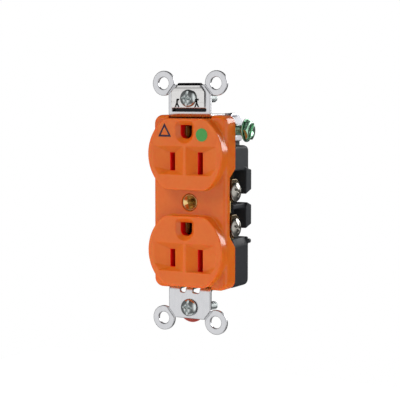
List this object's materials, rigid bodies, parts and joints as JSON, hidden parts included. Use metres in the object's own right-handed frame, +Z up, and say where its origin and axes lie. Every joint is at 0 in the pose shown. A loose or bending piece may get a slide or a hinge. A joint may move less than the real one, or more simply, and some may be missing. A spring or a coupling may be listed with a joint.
{
  "type": "duplex receptacle",
  "caption": "Orange isolated-ground duplex wall receptacle with wrap-around metal mounting strap, eared ends, side clamp terminals and a green ground screw.",
  "frame": {"origin": "centre of the device on the front plane of the mounting strap, midway between the two box screws", "axes": "+X to the right of someone facing the outlet (the neutral side), +Y into the wall box, +Z up (ground pins uppermost)"},
  "size_m": [0.0404, 0.0282, 0.1054],
  "materials": {
    "orange_nylon": "moulded nylon, satin, orange",
    "black_nylon": "moulded nylon, matt, dark grey",
    "plated_steel": "zinc plated steel strip",
    "spring_steel": "bright spring steel",
    "brass": "bare brass",
    "nickel": "nickel plate",
    "green_plate": "green dyed plating",
    "zinc": "bluish zinc plate",
    "red_fibre": "red vulcanised fibre",
    "insulator": "natural nylon"
  },
  "bodies": {
    "receptacle": {"face_cover": "orange_nylon", "rear_body": "black_nylon", "mounting_strap": "plated_steel", "plate_screw_bushing": "brass", "grounding_clip": "spring_steel", "ground_strap": "nickel", "ground_insulator": "insulator", "hot_terminal_plate": "brass", "neutral_terminal_plate": "brass", "hot_contact_upper": "brass", "hot_contact_lower": "brass", "neutral_contact_upper": "brass", "neutral_contact_lower": "brass", "ground_contact_upper": "brass", "ground_contact_lower": "brass", "retaining_washer_lower": "red_fibre", "assembly_screw_1": "zinc", "assembly_screw_2": "zinc", "assembly_screw_3": "zinc"},
    "hot_clamp_upper_body": {"hot_clamp_upper": "brass"},
    "hot_screw_upper_body": {"hot_screw_upper": "brass"},
    "hot_clamp_lower_body": {"hot_clamp_lower": "brass"},
    "hot_screw_lower_body": {"hot_screw_lower": "brass"},
    "neutral_clamp_upper_body": {"neutral_clamp_upper": "brass"},
    "neutral_screw_upper_body": {"neutral_screw_upper": "nickel"},
    "neutral_clamp_lower_body": {"neutral_clamp_lower": "brass"},
    "neutral_screw_lower_body": {"neutral_screw_lower": "nickel"},
    "ground_washer_body": {"ground_screw_washer": "green_plate"},
    "ground_screw_body": {"ground_screw": "green_plate"},
    "retaining_washer_upper_body": {"retaining_washer_upper": "red_fibre"},
    "mounting_screw_upper_body": {"mounting_screw_upper": "zinc"},
    "mounting_screw_lower_body": {"mounting_screw_lower": "zinc"}
  },
  "joints": [
    {"name": "hot_clamp_upper_slide", "type": "slide", "parent": "receptacle", "child": "hot_clamp_upper_body", "axis": [-1, 0, 0], "range_m": [-0.0034, 0]},
    {"name": "hot_screw_upper_turn", "type": "hinge", "parent": "hot_clamp_upper_body", "child": "hot_screw_upper_body", "pos_m": [-0.017, 0.00745, 0.00435], "axis": [-1, 0, 0], "range_deg": [-1545, 0]},
    {"name": "hot_clamp_lower_slide", "type": "slide", "parent": "receptacle", "child": "hot_clamp_lower_body", "axis": [-1, 0, 0], "range_m": [-0.0034, 0]},
    {"name": "hot_screw_lower_turn", "type": "hinge", "parent": "hot_clamp_lower_body", "child": "hot_screw_lower_body", "pos_m": [-0.017, 0.00745, -0.00997], "axis": [-1, 0, 0], "range_deg": [-1545, 0]},
    {"name": "neutral_clamp_upper_slide", "type": "slide", "parent": "receptacle", "child": "neutral_clamp_upper_body", "axis": [1, 0, 0], "range_m": [-0.0034, 0]},
    {"name": "neutral_screw_upper_turn", "type": "hinge", "parent": "neutral_clamp_upper_body", "child": "neutral_screw_upper_body", "pos_m": [0.017, 0.00745, 0.00435], "axis": [1, 0, 0], "range_deg": [-1545, 0]},
    {"name": "neutral_clamp_lower_slide", "type": "slide", "parent": "receptacle", "child": "neutral_clamp_lower_body", "axis": [1, 0, 0], "range_m": [-0.0034, 0]},
    {"name": "neutral_screw_lower_turn", "type": "hinge", "parent": "neutral_clamp_lower_body", "child": "neutral_screw_lower_body", "pos_m": [0.017, 0.00745, -0.00997], "axis": [1, 0, 0], "range_deg": [-1545, 0]},
    {"name": "ground_washer_slide", "type": "slide", "parent": "receptacle", "child": "ground_washer_body", "axis": [1, 0, 0], "range_m": [-0.0047, 0]},
    {"name": "ground_screw_turn", "type": "hinge", "parent": "ground_washer_body", "child": "ground_screw_body", "pos_m": [0.01975, 0.01275, 0.02885], "axis": [1, 0, 0], "range_deg": [-2134, 0]},
    {"name": "retaining_washer_upper_slide", "type": "slide", "parent": "receptacle", "child": "retaining_washer_upper_body", "axis": [0, 1, 0], "range_m": [-0.0009, 0]},
    {"name": "mounting_screw_upper_turn", "type": "hinge", "parent": "retaining_washer_upper_body", "child": "mounting_screw_upper_body", "pos_m": [0, -0.001, 0.04167], "axis": [0, -1, 0], "continuous": true},
    {"name": "mounting_screw_lower_turn", "type": "hinge", "parent": "receptacle", "child": "mounting_screw_lower_body", "pos_m": [0, -0.0005, -0.0425], "axis": [0, -0.9945, 0.1045], "continuous": true}
  ],
  "couplings": [
    {"joint": "hot_screw_upper_turn", "follows": "hot_clamp_upper_slide", "rad_per_m": 7915.8},
    {"joint": "hot_screw_lower_turn", "follows": "hot_clamp_lower_slide", "rad_per_m": 7915.8},
    {"joint": "neutral_screw_upper_turn", "follows": "neutral_clamp_upper_slide", "rad_per_m": 7915.8},
    {"joint": "neutral_screw_lower_turn", "follows": "neutral_clamp_lower_slide", "rad_per_m": 7915.8},
    {"joint": "ground_screw_turn", "follows": "ground_washer_slide", "rad_per_m": 7915.8}
  ]
}
